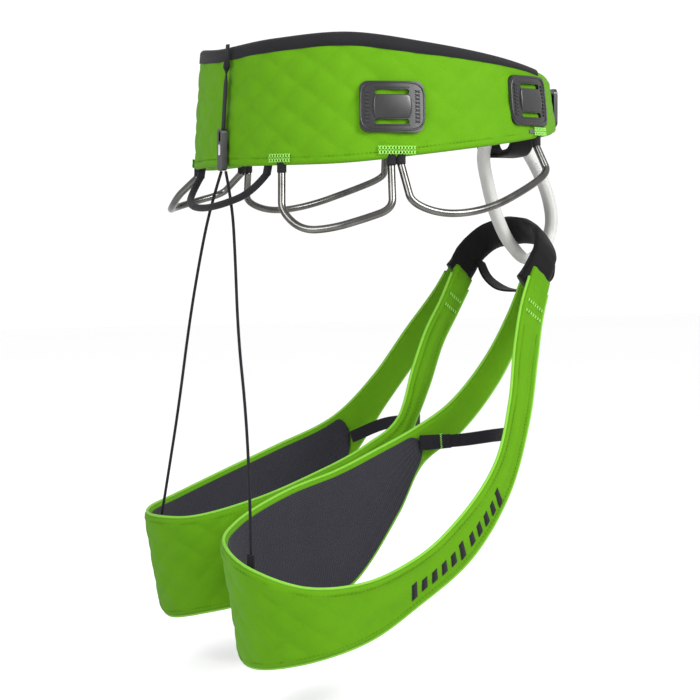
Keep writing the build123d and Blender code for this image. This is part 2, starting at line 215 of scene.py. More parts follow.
def moulded(name, dark, light, rough=0.42, metallic=0.0, grain=260.0, depth=0.12):
    """Moulded plastic or metal: a little tone, fine grain and uneven gloss."""
    made, tree, shader = new_material(name)
    where = add(tree, "ShaderNodeTexCoord")
    tone = add(tree, "ShaderNodeTexNoise", Scale=60.0, Detail=4.0)
    tree.links.new(where.outputs["Object"], tone.inputs["Vector"])
    colour = ramp(tree, tone.outputs["Fac"], dark, light, 0.3, 0.7)
    tree.links.new(colour, shader.inputs["Base Color"])
    gloss = add(tree, "ShaderNodeMapRange")
    gloss.inputs["To Min"].default_value = rough - 0.06
    gloss.inputs["To Max"].default_value = rough + 0.08
    tree.links.new(tone.outputs["Fac"], gloss.inputs["Value"])
    tree.links.new(gloss.outputs["Result"], shader.inputs["Roughness"])
    fine = add(tree, "ShaderNodeTexNoise", Scale=grain * 4, Detail=2.0)
    tree.links.new(where.outputs["Object"], fine.inputs["Vector"])
    bump = add(tree, "ShaderNodeBump", Strength=depth, Distance=0.0002)
    tree.links.new(fine.outputs["Fac"], bump.inputs["Height"])
    tree.links.new(bump.outputs[0], shader.inputs["Normal"])
    shader.inputs["Metallic"].default_value = metallic
    return made


GREEN_DARK = (0.036, 0.128, 0.0004)
GREEN_LIGHT = (0.082, 0.215, 0.0030)
M = {
    "green": cloth("green_fabric", GREEN_DARK, GREEN_LIGHT, pitch=0.0012, sheen=0.15),
    "green_strap": cloth("green_strap", (0.032, 0.115, 0.0003), (0.068, 0.185, 0.0015), pitch=0.0015, sheen=0.12),
    "piping": cloth("green_piping", (0.090, 0.270, 0.012), (0.17, 0.36, 0.045), pitch=0.0008, sheen=0.3),
    "liner": cloth("mesh_liner", (0.008, 0.008, 0.011), (0.030, 0.030, 0.037), pitch=0.0024, rough=0.9,
                   weave=0.9, sheen=0.35, mottle=0.2, skew=0.785),
    "webbing": cloth("black_webbing", (0.004, 0.004, 0.005), (0.015, 0.015, 0.017), pitch=0.0016, rough=0.7,
                     weave=0.7, sheen=0.3),
    "elastic": cloth("black_elastic", (0.004, 0.0035, 0.005), (0.014, 0.013, 0.017), pitch=0.0013, rough=0.8,
                     weave=0.8, sheen=0.35),
    "sleeve": cloth("black_sleeve", (0.0010, 0.0009, 0.0010), (0.0048, 0.0042, 0.0046), pitch=0.0007, rough=0.62,
                    weave=0.3, sheen=0.3),
    "belay": cloth("belay_webbing", (0.29, 0.29, 0.28), (0.50, 0.50, 0.48), pitch=0.0014, rough=0.7, weave=0.5,
                   sheen=0.2, mottle=0.15),
    "thread_green": cloth("green_thread", (0.13, 0.36, 0.04), (0.26, 0.52, 0.12), pitch=0.0006, sheen=0.3),
    "thread_black": cloth("black_thread", (0.010, 0.010, 0.012), (0.05, 0.05, 0.055), pitch=0.0006),
    "thread_grey": cloth("grey_thread", (0.05, 0.05, 0.055), (0.15, 0.15, 0.155), pitch=0.0006),
    "tube": moulded("gear_tube", (0.065, 0.063, 0.06), (0.12, 0.118, 0.112), rough=0.24, metallic=1.0, depth=0.04),
    "plastic": moulded("black_plastic", (0.002, 0.002, 0.0025), (0.006, 0.006, 0.007), rough=0.36, depth=0.2),
    "buckle": moulded("buckle_metal", (0.010, 0.010, 0.011), (0.030, 0.030, 0.032), rough=0.30, metallic=0.6),
    # Light grey for a painted glint on the riser clip.
    "painted_highlight": moulded("painted_glint_grey", (0.30, 0.30, 0.32), (0.50, 0.50, 0.52), rough=0.35, metallic=0.5),
}


# ---------------------------------------------------------------- mesh helpers
def smooth(points, count):
    """Points along a cubic curve through the given ones; rows may hold several positions side by side."""
    given = np.asarray(points, float)
    lead = given if given.shape[1] == 3 else (given[:, :3] + given[:, 3:6]) / 2
    at = np.concatenate(([0], np.cumsum(np.linalg.norm(np.diff(lead, axis=0), axis=1))))
    slope = np.gradient(given, at, axis=0)
    here = np.linspace(0, at[-1], count)
    index = np.clip(np.searchsorted(at, here, side="right") - 1, 0, len(at) - 2)
    step = (at[index + 1] - at[index])[:, None]
    s = (here - at[index])[:, None] / step
    return (
        (2 * s**3 - 3 * s**2 + 1) * given[index]
        + (s**3 - 2 * s**2 + s) * step * slope[index]
        + (3 * s**2 - 2 * s**3) * given[index + 1]
        + (s**3 - s**2) * step * slope[index + 1]
    )


def unit(rows):
    """Each row at length one."""
    return rows / np.maximum(np.linalg.norm(rows, axis=-1, keepdims=True), 1e-12)


def along_of(rows, closed=False):
    """Unit tangents of a line of points."""
    if closed:
        return unit(np.roll(rows, -1, axis=0) - np.roll(rows, 1, axis=0))
    return unit(np.gradient(rows, axis=0))


def skin(name, centre, across, normal, shape, material, closed=False):
    """A mesh over cross-sections: shape[i, k] is (along across, along normal) of point k in section i."""
    count, sides = shape.shape[:2]
    rows = centre[:, None] + across[:, None] * shape[..., :1] + normal[:, None] * shape[..., 1:]
    steps = np.linalg.norm(np.diff(centre, axis=0), axis=1)
    u = np.concatenate(([0], np.cumsum(steps)))
    around = np.linalg.norm(np.diff(shape[count // 2], axis=0), axis=1)
    v = np.concatenate(([0], np.cumsum(around)))
    faces, corners = [], []
    u_end = u[-1] + np.linalg.norm(centre[-1] - centre[0])
    v_end = v[-1] + np.linalg.norm(shape[count // 2, -1] - shape[count // 2, 0])
    for i in range(count if closed else count - 1):
        j = (i + 1) % count
        for k in range(sides):
            m = (k + 1) % sides
            faces.append((i * sides + k, j * sides + k, j * sides + m, i * sides + m))
            u1 = u[j] if j else u_end
            v1 = v[m] if m else v_end
            corners += [(u[i], v[k]), (u1, v[k]), (u1, v1), (u[i], v1)]
    if not closed:
        for ring in (list(range(sides)), list(range((count - 1) * sides, count * sides))[::-1]):
            faces.append(tuple(ring))
            corners += [(0.0, 0.0)] * sides
    data = bpy.data.meshes.new(name)
    data.from_pydata(rows.reshape(-1, 3).tolist(), [], faces)
    layer = data.uv_layers.new(name="UVMap")
    layer.data.foreach_set("uv", np.asarray(corners, float).ravel())
    data.polygons.foreach_set("use_smooth", [True] * len(faces))
    data.validate()
    piece = bpy.data.objects.new(name, data)
    bpy.context.scene.collection.objects.link(piece)
    data.materials.append(material)
    flip_if_inside_out(data)
    return piece


def flip_if_inside_out(data):
    """Point a closed mesh's faces outward."""
    work = bmesh.new()
    work.from_mesh(data)
    bmesh.ops.recalc_face_normals(work, faces=work.faces)
    work.to_mesh(data)
    work.free()


def ring_shape(count, wide, thick, sides=16, squareness=2.0):
    """Rounded sections, the same all along: a superellipse of full width and thickness."""
    turn = np.linspace(0, 2 * math.pi, sides, endpoint=False)
    one = np.stack([
        np.sign(np.cos(turn)) * np.abs(np.cos(turn)) ** (2 / squareness) * wide / 2,
        np.sign(np.sin(turn)) * np.abs(np.sin(turn)) ** (2 / squareness) * thick / 2,
    ], axis=-1)
    return np.repeat(one[None], count, axis=0)


def frames(points, hint, closed=False):
    """Tangent, side and normal along a line; the side stays as near to the hint as it can."""
    tangent = along_of(points, closed)
    hint = np.broadcast_to(np.asarray(hint, float), points.shape)
    side = unit(hint - tangent * np.sum(hint * tangent, axis=1, keepdims=True))
    return tangent, side, np.cross(tangent, side)


def rod(name, points, diameter, material, hint=(0, 0, 1), sides=10, closed=False):
    """A round cord or tube along a line of points."""
    points = np.asarray(points, float)
    _, side, normal = frames(points, hint, closed)
    return skin(name, points, side, normal, ring_shape(len(points), diameter, diameter, sides), material, closed)


def nurbs_line(points, resolution=14):
    """The smooth line of an order 3 NURBS with the given control points."""
    data = bpy.data.curves.new("route", "CURVE")
    data.dimensions = "3D"
    data.resolution_u = resolution
    spline = data.splines.new("NURBS")
    spline.points.add(len(points) - 1)
    for point, place in zip(spline.points, points):
        point.co = (*place, 1)
    spline.order_u = 3
    spline.use_endpoint_u = True
    holder = bpy.data.objects.new("route", data)
    line = bpy.data.meshes.new_from_object(holder)
    places = np.array([vertex.co for vertex in line.vertices])
    bpy.data.objects.remove(holder)
    bpy.data.meshes.remove(line)
    bpy.data.curves.remove(data)
    return places


def band_lines(rails, count, outward):
    """Centre, across and outward normal of a band between two rails, and its half width."""
    line = smooth(np.asarray(rails, float), count)
    top, bottom = line[:, :3], line[:, 3:]
    centre = (top + bottom) / 2
    across = unit(top - bottom)
    tangent = along_of(centre)
    tangent = unit(tangent - across * np.sum(tangent * across, axis=1, keepdims=True))
    normal = np.cross(tangent, across) * outward
    return centre, across, normal, np.linalg.norm(top - bottom, axis=1) / 2


def pad_shape(half, thick, relief=None, across_count=36, edge_count=6, lift=0.0):
    """Sections of a soft band: a relieved outer face, round edges and a flat inner face."""
    radius = thick / 2
    face = np.linspace(-1, 1, across_count)
    turn = np.linspace(math.pi / 2, -math.pi / 2, edge_count + 2)[1:-1]
    sections = []
    for index, reach in enumerate(half):
        flat = max(reach - radius, 0.0005)
        swell = np.zeros(across_count) if relief is None else relief(index, face)
        fade = np.clip((1 - np.abs(face)) / 0.08, 0, 1)
        outer = np.stack([face * flat, radius + lift + swell * fade], axis=-1)
        upper = np.stack([flat + radius * np.cos(turn), radius * np.sin(turn)], axis=-1)
        inner = np.stack([-face[::2] * flat, np.full(len(face[::2]), -radius)], axis=-1)
        lower = np.stack([-flat - radius * np.cos(turn), -radius * np.sin(turn)], axis=-1)
        sections.append(np.concatenate([outer, upper, inner, lower]))
    return np.array(sections)


def quilt(u, w, size):
    """Height from 0 to 1 of diamond pillows at a place on a band."""
    one = np.abs(np.sin(math.pi * (u + w) / size))
    two = np.abs(np.sin(math.pi * (u - w) / size))
    return (one * two) ** 0.45


def wrinkle(place, scale, seed):
    """Smooth noise from -1 to 1 at a place."""
    return noise.noise(Vector(place) * scale + Vector((seed, seed * 0.7, 3.1)))


def stitches(name, points, normals, material, pitch=0.0030, length=0.0021, radius=0.00032,
             lift=0.0002, slant=None):
    """A row of thread dashes lying on a surface, along a line of points."""
    points = np.asarray(points, float)
    at = np.concatenate(([0], np.cumsum(np.linalg.norm(np.diff(points, axis=0), axis=1))))
    middle = np.arange(pitch / 2, at[-1], pitch)
    place = np.stack([np.interp(middle, at, points[:, a]) for a in range(3)], axis=-1)
    out = unit(np.stack([np.interp(middle, at, normals[:, a]) for a in range(3)], axis=-1))
    run = along_of(points)
    run = unit(np.stack([np.interp(middle, at, run[:, a]) for a in range(3)], axis=-1))
    if slant is not None:
        run = unit(run * math.cos(slant) + np.cross(out, run) * math.sin(slant))
    side = np.cross(out, run)
    verts, faces = [], []
    profile = ((-0.5, 0.25), (-0.3, 1.0), (0.3, 1.0), (0.5, 0.25))
    for p, n, t, s in zip(place, out, run, side):
        base = len(verts)
        for share, fat in profile:
            for k in range(6):
                a = k * math.pi / 3
                round_off = (s * math.cos(a) + n * math.sin(a)) * radius * fat
                verts.append(tuple(p + n * (lift + radius * 0.4 * (fat - 1)) + t * share * length + round_off))
        for ring in range(len(profile) - 1):
            for k in range(6):
                m = (k + 1) % 6
                here = base + ring * 6
                faces.append((here + k, here + m, here + 6 + m, here + 6 + k))
        faces.append(tuple(base + k for k in range(5, -1, -1)))
        faces.append(tuple(base + 18 + k for k in range(6)))
    data = bpy.data.meshes.new(name)
    data.from_pydata(verts, [], faces)
    data.uv_layers.new(name="UVMap")
    data.polygons.foreach_set("use_smooth", [True] * len(faces))
    piece = bpy.data.objects.new(name, data)
    bpy.context.scene.collection.objects.link(piece)
    data.materials.append(material)
    flip_if_inside_out(data)
    return piece


def joined(name, pieces):
    """Join several meshes into the first one, under a new name."""
    bpy.ops.object.select_all(action="DESELECT")
    for piece in pieces:
        piece.select_set(True)
    bpy.context.view_layer.objects.active = pieces[0]
    bpy.ops.object.join()
    pieces[0].name = name
    pieces[0].data.name = name
    return pieces[0]


# ---------------------------------------------------------------- waist belt
WAIST_X, WAIST_Y, WAIST_POWER, FLARE = 0.134, 0.137, 2.2, 0.003
BELT_EDGES = (
    (0, 37, -54), (27, 41, -54.5), (54, 44, -53), (80, 37, -46), (105, 28, -37), (128, 21, -30), (150, 18, -25),
)
BELT_THICK = 0.0062
WEBBING_Z = -0.0035


def power(value, exponent):
    """A power that keeps its base's sign."""
    return math.copysign(abs(value) ** exponent, value)


def belt_plan(angle, out=0.0):
    """X and Y of the belt at an angle from the back centre, the wearer's right side positive."""
    turn = math.radians(angle)
    return (
        -(WAIST_X + out) * power(math.sin(turn), 2 / WAIST_POWER),
        (WAIST_Y + out) * power(math.cos(turn), 2 / WAIST_POWER),
    )


def belt_edges(angle):
    """Heights of the belt's top and bottom edges at an angle."""
    table = np.asarray(BELT_EDGES, float)
    return tuple(np.interp(abs(angle), table[:, 0], table[:, which]) * MM for which in (1, 2))


def belt_rails():
    """Top and bottom edge points of the belt, from the wearer's left round the back to the right."""
    rows = []
    for angle in [-a[0] for a in reversed(BELT_EDGES[1:])] + [a[0] for a in BELT_EDGES]:
        top, bottom = belt_edges(angle)
        rows.append((*belt_plan(angle, -FLARE), top, *belt_plan(angle, FLARE), bottom))
    return rows


BELT_COUNT = 340
BELT = band_lines(belt_rails(), BELT_COUNT, 1)


def belt_angle(place):
    """Angle from the back centre of a point, without its sign."""
    return abs(math.degrees(math.atan2(place[0], place[1])))


def belt_relief(index, face):
    """Diamond quilting that is full at the back and fades to the front, and soft wrinkles."""
    centre, across, _, half = BELT
    at = np.linalg.norm(np.diff(centre, axis=0), axis=1).sum() / (BELT_COUNT - 1) * index
    fade = 0.35 + 0.65 * max(0.0, min(1.0, (120 - belt_angle(centre[index])) / 70))
    w = face * half[index]
    height = 0.0019 * fade * (quilt(at, w * 1.15, 0.031) - 0.55)
    spots = [centre[index] + across[index] * x for x in w]
    soft = np.array([wrinkle(spot, 26, 1.7) * 0.0007 + wrinkle(spot, 75, 5.2) * 0.00025 for spot in spots])
    # The top edge lies flat under the binding.
    return (height + soft) * np.clip((0.97 - face) / 0.2, 0, 1)


def make_belt():
    centre, across, normal, half = BELT
    shape = pad_shape(half - 0.0006, BELT_THICK, belt_relief, across_count=44)
    fabric = skin("waistbelt_fabric", centre, across, normal, shape, M["green"])
    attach(fabric, "waistbelt")
    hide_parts("waistbelt_shell", "waistbelt_core")
    # Liner: a thin dark mesh layer inside, a little short of the lower edge.
    inner = pad_shape(half - 0.0042, 0.0014, None, across_count=24, edge_count=3)
    liner = skin("waistbelt_mesh_liner", centre - normal * (BELT_THICK / 2 + 0.0003), across, normal, inner, M["liner"])
    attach(liner, "waistbelt")
    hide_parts("waistbelt_liner")
    # Binding: a folded tape over the top edge, narrower to the front, where it runs out.
    angles = np.array([belt_angle(c) for c in centre])
    keep = angles < 126
    reach = np.clip((128 - angles) / 60, 0.15, 1) * 0.0062
    top = (centre + across * half[:, None])[keep]
    sections = []
    turn = np.linspace(math.pi / 2, -math.pi / 2, 9)
    for down in reach[keep]:
        r = BELT_THICK / 2 + 0.0007
        cap = np.stack([-r + 0.0009 + r * np.cos(turn), r * np.sin(turn)], axis=-1)
        outer = [(-r - down, BELT_THICK / 2 + 0.0008)]
        inner_end = [(-r - down, -BELT_THICK / 2 - 0.0012)]
        back = [(-r - down, -BELT_THICK / 2 + 0.0005), (-r - down, BELT_THICK / 2 - 0.0006)]
        sections.append(np.concatenate([outer, cap, inner_end, back]))
    tape = skin("waistbelt_top_binding", top, across[keep], normal[keep], np.array(sections), M["webbing"])
    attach(tape, "waistbelt")
    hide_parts("belt_top_binding")
    # A hem seam above the lower edge.
    hem = centre - across * (half - 0.0062)[:, None] + normal * (BELT_THICK / 2)
    seam = stitches("waistbelt_hem_stitches", hem, normal, M["green_strap"], pitch=0.0031)
    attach(seam, "waistbelt")


def on_belt(angle, z, out):
    """Point, direction along the belt to the wearer's right, and outward direction at a place on the belt."""
    top, bottom = belt_edges(angle)
    lean = FLARE * (top + bottom - 2 * z) / (top - bottom)
    x, y = belt_plan(angle, lean)
    ahead, behind = np.array(belt_plan(angle + 1)), np.array(belt_plan(angle - 1))
    run = np.array([*(ahead - behind), 0.0])
    run /= np.linalg.norm(run)
    outward = np.cross(run, (0, 0, 1.0))
    tilt = 2 * FLARE / (top - bottom)
    outward = unit(outward + np.array((0, 0, tilt)))
    return np.array((x, y, z)) + outward * out, run, outward


GEAR_ANGLES = {"rear": (31, 68), "front": (71, 121)}


def make_tacks():
    """Zigzag bar tacks over the gear-loop ends, in light thread on the lower edge."""
    pieces = []
    # One block serves the two neighbouring ends of the rear and front loops.
    for place, spread in ((31, 3.9), (69.5, 5.8), (121, 3.9)):
        for angle in (place, -place):
            _, bottom = belt_edges(angle)
            for row in range(2):
                line, outs = [], []
                for step in np.linspace(-spread, spread, 12):
                    place, _, out = on_belt(angle + step, bottom + 0.0038 + row * 0.0034, BELT_THICK / 2 + 0.0012)
                    line.append(place)
                    outs.append(out)
                for slant in (1.05, -1.05):
                    pieces.append(stitches("tack", line, np.array(outs), M["thread_green"], pitch=0.0024,
                                           length=0.0040, radius=0.00034, lift=0.0003, slant=slant))
    tacks = joined("gear_loop_bar_tacks", pieces)
    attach(tacks, "waistbelt")
    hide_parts("bar_tacks")


def belt_patch(name, angle, z, wide, tall, thick, out, material, corner=0.0035, count=24, crown=0.0):
    """A small patch lying on the belt, with rounded corners and edges."""
    centres, acrosses, normals, halves = [], [], [], []
    for share in np.linspace(-1, 1, count):
        x = share * wide / 2
        inset = max(0.0, abs(x) - (wide / 2 - corner))
        drop = corner - math.sqrt(max(corner**2 - inset**2, 0.0))
        turn = angle + math.degrees(x / WAIST_X)
        place, run, outward = on_belt(turn, z, out)
        centres.append(place)
        normals.append(outward)
        upward = np.cross(outward, run)
        acrosses.append(upward * math.copysign(1, upward[2]))
        halves.append(tall / 2 - drop)
    shape = pad_shape(np.array(halves), thick, (lambda i, f: crown * (1 - f**2)) if crown else None,
                      across_count=14, edge_count=4)
    return skin(name, np.array(centres), np.array(acrosses), np.array(normals), shape, material)


PLATES = {"side": (68, -0.011), "front": (116, -0.003)}


def make_plates():
    """The CAD plate keeps its shape; it gets its raised middle band, slot lips and side stitching."""
    for place, (angle, z) in PLATES.items():
        for side, sign in SIDES.items():
            node = f"clipper_plate_{place}_{side}"
            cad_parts[node].data.materials.clear()
            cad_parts[node].data.materials.append(M["plastic"])
            here = -sign * angle
            band = belt_patch(f"{node}_band", here, z, 0.027, 0.0175, 0.0012, 0.0060, M["plastic"], crown=0.0006)
            lips = []
            for shift in (0.0138, 0.0082, -0.0082, -0.0138):
                line = [on_belt(here + t, z + shift, 0.0059)[0] for t in np.linspace(-5.2, 5.2, 18)]
                lips.append(rod("lip", line, 0.0011, M["plastic"], sides=8))
            rim = []
            for a in np.linspace(0, 2 * math.pi, 73)[:-1]:
                c, s = math.cos(a), math.sin(a)
                x = power(c, 0.42) * 0.0228
                y = power(s, 0.42) * 0.0178
                rim.append(on_belt(here + math.degrees(x / WAIST_X), z + y, 0.0058)[0])
            lips.append(rod("rim", rim, 0.0016, M["plastic"], sides=8, closed=True, hint=on_belt(here, z, 0)[2]))
            lip = joined(f"{node}_lips", lips)
            threads = []
            for column in (-1, 1):
                turn = here + column * math.degrees(0.0182 / WAIST_X)
                line, outs = [], []
                for up in np.linspace(-0.0128, 0.0128, 12):
                    point, _, out = on_belt(turn, z + up, 0.0061)
                    line.append(point)
                    outs.append(out)
                for slant in (1.15, -1.15):
                    threads.append(stitches("zigzag", line, np.array(outs), M["thread_black"], pitch=0.0028,
                                            length=0.0044, radius=0.00042, slant=slant))
            thread = joined(f"{node}_stitching", threads)
            for piece, slot in ((band, "black_plastic"), (lip, "black_plastic"), (thread, "black_webbing")):
                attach(piece, "waistbelt")
    # Black bar tacks under the front plates.
    pieces = []
    for sign in SIDES.values():
        line, outs = [], []
        for step in np.linspace(-4, 4, 10):
            point, _, out = on_belt(-sign * 118.5 + step, -0.0268, BELT_THICK / 2 + 0.0008)
            line.append(point)
            outs.append(out)
        for slant in (1.3, -1.3):
            pieces.append(stitches("tack", line, np.array(outs), M["thread_grey"], pitch=0.0016, length=0.0034,
                                   radius=0.00033, lift=0.0004, slant=slant))
    tack = joined("front_plate_bar_tacks", pieces)
    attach(tack, "waistbelt")


# ---------------------------------------------------------------- gear loops and haul loop
# For each side: depths under the chord at the back, middle and front, and the bulge.
# The left rear loop is swung out.
GEAR_SHAPES = {
    "rear": {"right": ((30, 45, 33), 11), "left": ((16, 28, 18), 28)},
    "front": {"right": ((30, 42, 22), 15), "left": ((26, 37, 20), 15)},
}
GEAR_DROP = 0.0045


def gear_points(place, side, sign):
    """The gear loop's route: down, along and up again, standing out from the belt."""
    start, end = GEAR_ANGLES[place]
    (back, deep, front), bulge = GEAR_SHAPES[place][side]
    ends = []
    for angle in (start, end):
        bottom = belt_edges(angle)[1]
        ends.append(np.array((*belt_plan(angle, FLARE), bottom - GEAR_DROP)))
    chord = ends[1] - ends[0]
    outward = unit(np.array((-chord[1], chord[0], 0)))
    if outward[:2] @ ends[0][:2] < 0:
        outward = -outward
    shape = (
        (0.0, 0, 0.0), (0.02, back, 0.7), (0.22, deep, 1.25), (0.5, deep, 1.6),
        (0.8, (deep + front) / 2, 1.25), (1.03, front, 0.7), (1.0, 0, 0.0),
    )
    route = [ends[0] + chord * a + outward * bulge * o * MM - np.array((0, 0, d * MM)) for a, d, o in shape]
    return [np.array((-sign * p[0], p[1], p[2])) for p in route]


def make_gear_loops():
    for place in GEAR_SHAPES:
        for side, sign in SIDES.items():
            route = gear_points(place, side, sign)
            # Two more control points beside each lower corner keep the bends as tight as the real ones.
            first, low, last = route[1], route[3], route[5]
            points = [route[0], route[0] * 0.45 + first * 0.55, first, *route[2:5], last,
                      route[6] * 0.45 + last * 0.55, route[6]]
            line = nurbs_line(points, 16)
            loop = rod(f"gear_loop_{place}_{side}_tube", line, 0.0058, M["tube"], hint=(0.3 * sign, 0.2, 1), sides=20)
            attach(loop, f"gear_loop_{place}_{side}")
            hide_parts(f"gear_loop_{place}_{side}")
            sleeves = []
            for end, toward in ((route[0], first), (route[6], last)):
                down = unit(toward - end)
                up = np.array((0, 0, 1.0)) * 0.008
                line = np.array([end + up, end + up * 0.5, end + up * 0.2, end + down * 0.0004])
                sleeves.append(rod("sleeve", smooth(line, 12), 0.0072, M["webbing"], hint=(1, 0.2, 0), sides=16))
            sleeve = joined(f"gear_loop_{place}_{side}_sleeves", sleeves)
            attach(sleeve, "waistbelt")


HAUL = [(-60, 126, -59), (-56, 137, -74), (-30, 150, -83), (0, 153.5, -86), (30, 150, -83),
        (56, 137, -74), (60, 126, -59)]


def make_haul_loop():
    line = nurbs_line([np.array(p) * MM for p in HAUL], 18)
    cord = rod("haul_loop_cord", line, 0.0055, M["webbing"], hint=(0, 0.4, 1), sides=16)
    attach(cord, "haul_loop")
    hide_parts("haul_loop")
    ends = []
    for sign in (-1, 1):
        end = np.array((sign * 0.060, 0.126, -0.059))
        steps = ((0, -0.001, 0.0085), (0, 0, 0.003), (-sign * 0.0003, 0.0008, -0.0015))
        run = np.array([end + np.array(step) for step in steps])
        ends.append(rod("end", smooth(run, 10), 0.0064, M["webbing"], hint=(1, 0, 0), sides=14))
    sleeve = joined("haul_loop_sleeves", ends)
    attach(sleeve, "waistbelt")


# ---------------------------------------------------------------- front: webbing, tie-in, belay loop
def webbing_strip(name, centre, across, normal, width, thick, material, body, node):
    """Flat webbing with round edges and a slight rib along its middle."""
    half = np.full(len(centre), width / 2)
    ribs = lambda index, face: 0.00012 * np.cos(face * math.pi * 7)
    shape = pad_shape(half, thick, ribs, across_count=30, edge_count=4)
    piece = skin(name, centre, across, normal, shape, material)
    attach(piece, body)
    if node:
        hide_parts(node)
    return piece


def front_line(start, end, out=0.0, count=70):
    """A level line across the front of the belt, between two angles."""
    rows = np.array([(*belt_plan(a), WEBBING_Z) for a in np.linspace(start, end, count)])
    tangent = along_of(rows)
    up = np.broadcast_to(np.array((0, 0, 1.0)), rows.shape)
    normal = np.cross(tangent, up)
    return rows + normal * out, up, normal


def make_front():
    spans = {
        "front_webbing_left": (166, 208.5, 0.0, 0.0021), "front_webbing_right": (150.5, 164, 0.0, 0.0021),
        "webbing_tail": (161, 201, 0.0026, 0.0019),
    }
    for node, (start, end, out, thick) in spans.items():
        centre, up, normal = front_line(start, end, out)
        webbing_strip(f"{node}_strip", centre, up, normal, 0.024, thick, M["webbing"], "waistbelt", node)
    # The folds of webbing that pass through the buckle's two slots.
    folds = []
    for start, end in ((158.8, 160.6), (165.3, 167.2)):
        near, up, normal = front_line(start, end, 0.0, 12)
        bend = np.sin(np.linspace(0, math.pi, 12))[:, None]
        half = np.full(12, 0.0118)
        folds.append(skin("fold", near + normal * bend * 0.0075, up, normal, pad_shape(half, 0.0018), M["webbing"]))
    fold = joined("buckle_webbing_folds", folds)
    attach(fold, "waistbelt")
    for node in ("buckle_frame", "buckle_slider"):
        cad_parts[node].data.materials.clear()
        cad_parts[node].data.materials.append(M["buckle"])
        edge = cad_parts[node].modifiers.new("soft_edges", "BEVEL")
        edge.width = 0.0005
        edge.segments = 2
        edge.limit_method = "ANGLE"
    # Keeper: an elastic ring round the webbing and its tail.
    centre, up, normal = front_line(193, 193.01, 0.0013, 2)
    middle, out = centre[0], normal[0]
    turn = np.linspace(0, 2 * math.pi, 48, endpoint=False)
    rise = np.array([power(math.sin(a), 0.35) * 0.0136 for a in turn])[:, None]
    reach = np.array([power(math.cos(a), 0.35) * 0.0038 for a in turn])[:, None]
    ring = middle + np.array((0, 0, 1.0)) * rise + out * reach
    run = np.cross(out, (0, 0, 1.0))
    tangent, side, flat = frames(ring, run, closed=True)
    keeper = skin("webbing_keeper_ring", ring, side, flat, ring_shape(48, 0.0075, 0.0011, 12, 3.0),
                  M["elastic"], closed=True)
    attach(keeper, "waistbelt")
    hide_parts("webbing_keeper")


TIE_Y, TIE_DEPTH, TIE_HALF, TIE_TOP, TIE_BOTTOM = -0.124, 0.020, 0.024, 0.008, -0.037


def u_line(half, top, bottom, corner, count):
    """A U in the XZ plane with round corners."""
    points = [(-half, TIE_Y, top), (-half, TIE_Y, (top + bottom) / 2), (-half, TIE_Y, bottom + corner)]
    for a in np.linspace(0, math.pi / 2, 6)[1:]:
        points.append((-half + corner - corner * math.cos(a), TIE_Y, bottom + corner - corner * math.sin(a)))
    points += [(-x, y, z) for x, y, z in reversed(points)]
    return smooth(points, count)


def make_tie_in():
    line = u_line(TIE_HALF, TIE_TOP, TIE_BOTTOM, 0.010, 90)
    across = np.broadcast_to(np.array((0, 1.0, 0)), line.shape)
    normal = np.cross(along_of(line), across)
    webbing_strip("upper_tie_in_webbing", line, across, normal, TIE_DEPTH, 0.003, M["webbing"],
                  "waistbelt", "upper_tie_in_loop")
    line = u_line(TIE_HALF + 0.003, -0.0235, TIE_BOTTOM - 0.003, 0.013, 70)
    across = np.broadcast_to(np.array((0, 1.0, 0)), line.shape)
    normal = np.cross(along_of(line), across)
    half = np.full(70, (TIE_DEPTH + 0.002) / 2) * np.clip(np.sin(np.linspace(0, math.pi, 70)) * 4, 0.72, 1)
    guard = skin("tie_in_wear_guard", line, across, normal, pad_shape(half, 0.0026), M["sleeve"])
    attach(guard, "waistbelt")
    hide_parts("tie_in_guard")


BELAY_RING = [
    (-104, -35), (-108, -66), (-117, -92), (-131, -115), (-147, -127), (-162, -118),
    (-171, -98), (-168, -76), (-158, -54), (-142, -31), (-132, -20), (-112, -20),
]


def closed_smooth(points, count):
    """A smooth closed line through points."""
    points = [np.array(p, float) for p in points]
    lead = points[-3:] + points + points[:3]
    line = smooth(lead, count * 3)
    start = np.argmin(np.linalg.norm(line[: len(line) // 2] - points[0], axis=1))
    ends = np.linalg.norm(line - points[0], axis=1)
    ends[: start + count // 2] = 1.0
    stop = np.argmin(ends)
    chosen = line[start:stop]
    pick = np.linspace(0, len(chosen) - 1, count + 1)[:-1].astype(int)
    even = chosen[pick]
    for _ in range(4):
        even = even * 0.5 + (np.roll(even, 1, axis=0) + np.roll(even, -1, axis=0)) * 0.25
    return even


def make_belay_loop():
    line = closed_smooth([(0, y * MM, z * MM) for y, z in BELAY_RING], 150)
    _, side, normal = frames(line, (1, 0, 0), closed=True)
    loop = skin("belay_loop_webbing", line, side, normal, ring_shape(150, 0.0130, 0.0090, 28, 2.5),
                M["belay"], closed=True)
    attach(loop, "belay_loop")
    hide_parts("belay_loop")
    # Structural stitching down the front run, on both faces.
    pieces = []
    run = [i for i in range(len(line)) if line[i][1] < -0.150 and -0.105 < line[i][2] < -0.045]
    path = line[run]
    for face in (-1, 1):
        outs = side[run] * face
        for shift in (-0.0014, 0.0014):
            pieces.append(stitches("seam", path + outs * 0.0062 + normal[run] * shift, outs, M["belay"],
                                   pitch=0.0024, length=0.0026, radius=0.0003, slant=0.9 * (1 if shift > 0 else -1)))
    seam = joined("belay_loop_stitching", pieces)
    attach(seam, "belay_loop")


# ---------------------------------------------------------------- yoke
YOKE_ARCH = (
    (60, (-98, -143), (-113, -160)), (60, (-108, -130), (-125, -146)), (57, (-117, -114), (-135, -130)),
    (44, (-125, -101), (-142, -118)), (22, (-130, -94), (-144, -114)),
)
BRIDGE = (
    (54, (-129, -125), (-139, -131)), (49, (-130, -137), (-141, -140)), (30, (-129, -149), (-142, -149)),
)


